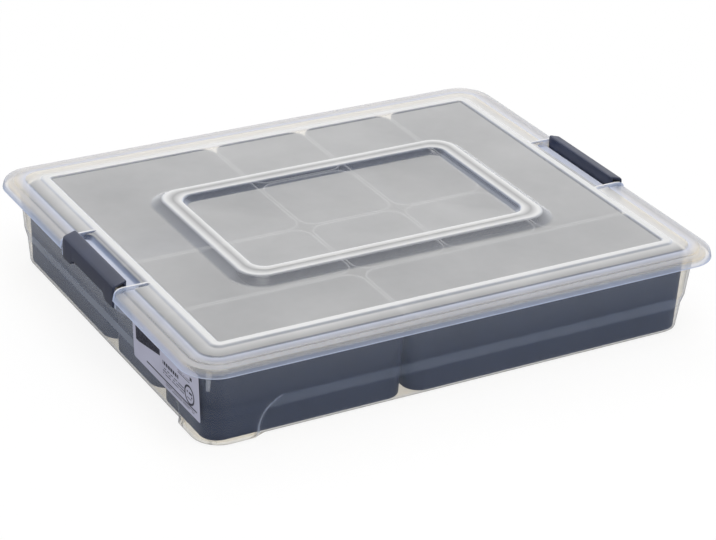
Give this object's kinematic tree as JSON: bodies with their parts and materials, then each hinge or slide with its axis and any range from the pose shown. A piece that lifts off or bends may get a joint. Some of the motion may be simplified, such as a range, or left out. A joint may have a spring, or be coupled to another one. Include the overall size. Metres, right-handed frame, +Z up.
{
  "type": "compartment storage box",
  "caption": "Shallow clear storage box with loose compartment trays, a lift-off lid with a raised ring and a hinged snap clip on each short side.",
  "frame": {"origin": "middle of the base, on the ground", "axes": "+X along the long side, +Y to the back, +Z up"},
  "size_m": [0.4026, 0.3266, 0.0702],
  "materials": {
    "clear_plastic": "clear gloss",
    "milky_plastic": "translucent satin",
    "clip_plastic": "satin",
    "tray_plastic": "satin",
    "label_paper": "printed label"
  },
  "bodies": {
    "box": {"box_base": "clear_plastic", "product_label": "label_paper"},
    "lid": {"lid": "milky_plastic"},
    "clip_left": {"clip_left": "clip_plastic"},
    "clip_right": {"clip_right": "clip_plastic"},
    "tray_large_square": {"tray_large_square": "tray_plastic"},
    "tray_wide_middle": {"tray_wide_middle": "tray_plastic"},
    "tray_wide_front": {"tray_wide_front": "tray_plastic"},
    "tray_long_front": {"tray_long_front": "tray_plastic"},
    "tray_small_back": {"tray_small_back": "tray_plastic"},
    "tray_small_centre": {"tray_small_centre": "tray_plastic"},
    "tray_small_inner": {"tray_small_inner": "tray_plastic"},
    "tray_deep_back": {"tray_deep_back": "tray_plastic"},
    "tray_small_right": {"tray_small_right": "tray_plastic"},
    "tray_deep_right": {"tray_deep_right": "tray_plastic"}
  },
  "joints": [
    {"name": "lid_lift", "type": "slide", "parent": "box", "child": "lid", "axis": [0, 0, 1], "range_m": [0, 0.2]},
    {"name": "clip_left_hinge", "type": "hinge", "parent": "box", "child": "clip_left", "pos_m": [-0.1968, 0, 0.0535], "axis": [0, -1, 0], "range_deg": [0, 110]},
    {"name": "clip_right_hinge", "type": "hinge", "parent": "box", "child": "clip_right", "pos_m": [0.1968, 0, 0.0535], "axis": [0, 1, 0], "range_deg": [0, 110]},
    {"name": "large_square_tray_lift", "type": "slide", "parent": "box", "child": "tray_large_square", "axis": [0, 0, 1], "range_m": [0, 0.12]},
    {"name": "wide_middle_tray_lift", "type": "slide", "parent": "box", "child": "tray_wide_middle", "axis": [0, 0, 1], "range_m": [0, 0.12]},
    {"name": "wide_front_tray_lift", "type": "slide", "parent": "box", "child": "tray_wide_front", "axis": [0, 0, 1], "range_m": [0, 0.12]},
    {"name": "long_front_tray_lift", "type": "slide", "parent": "box", "child": "tray_long_front", "axis": [0, 0, 1], "range_m": [0, 0.12]},
    {"name": "small_back_tray_lift", "type": "slide", "parent": "box", "child": "tray_small_back", "axis": [0, 0, 1], "range_m": [0, 0.12]},
    {"name": "small_centre_tray_lift", "type": "slide", "parent": "box", "child": "tray_small_centre", "axis": [0, 0, 1], "range_m": [0, 0.12]},
    {"name": "small_inner_tray_lift", "type": "slide", "parent": "box", "child": "tray_small_inner", "axis": [0, 0, 1], "range_m": [0, 0.12]},
    {"name": "deep_back_tray_lift", "type": "slide", "parent": "box", "child": "tray_deep_back", "axis": [0, 0, 1], "range_m": [0, 0.12]},
    {"name": "small_right_tray_lift", "type": "slide", "parent": "box", "child": "tray_small_right", "axis": [0, 0, 1], "range_m": [0, 0.12]},
    {"name": "deep_right_tray_lift", "type": "slide", "parent": "box", "child": "tray_deep_right", "axis": [0, 0, 1], "range_m": [0, 0.12]}
  ],
  "couplings": [
    {"joint": "large_square_tray_lift", "follows": "lid_lift", "ratio": 0.6},
    {"joint": "wide_middle_tray_lift", "follows": "lid_lift", "ratio": 0.6},
    {"joint": "wide_front_tray_lift", "follows": "lid_lift", "ratio": 0.6},
    {"joint": "long_front_tray_lift", "follows": "lid_lift", "ratio": 0.6},
    {"joint": "small_back_tray_lift", "follows": "lid_lift", "ratio": 0.6},
    {"joint": "small_centre_tray_lift", "follows": "lid_lift", "ratio": 0.6},
    {"joint": "small_inner_tray_lift", "follows": "lid_lift", "ratio": 0.6},
    {"joint": "deep_back_tray_lift", "follows": "lid_lift", "ratio": 0.6},
    {"joint": "small_right_tray_lift", "follows": "lid_lift", "ratio": 0.6},
    {"joint": "deep_right_tray_lift", "follows": "lid_lift", "ratio": 0.6}
  ]
}
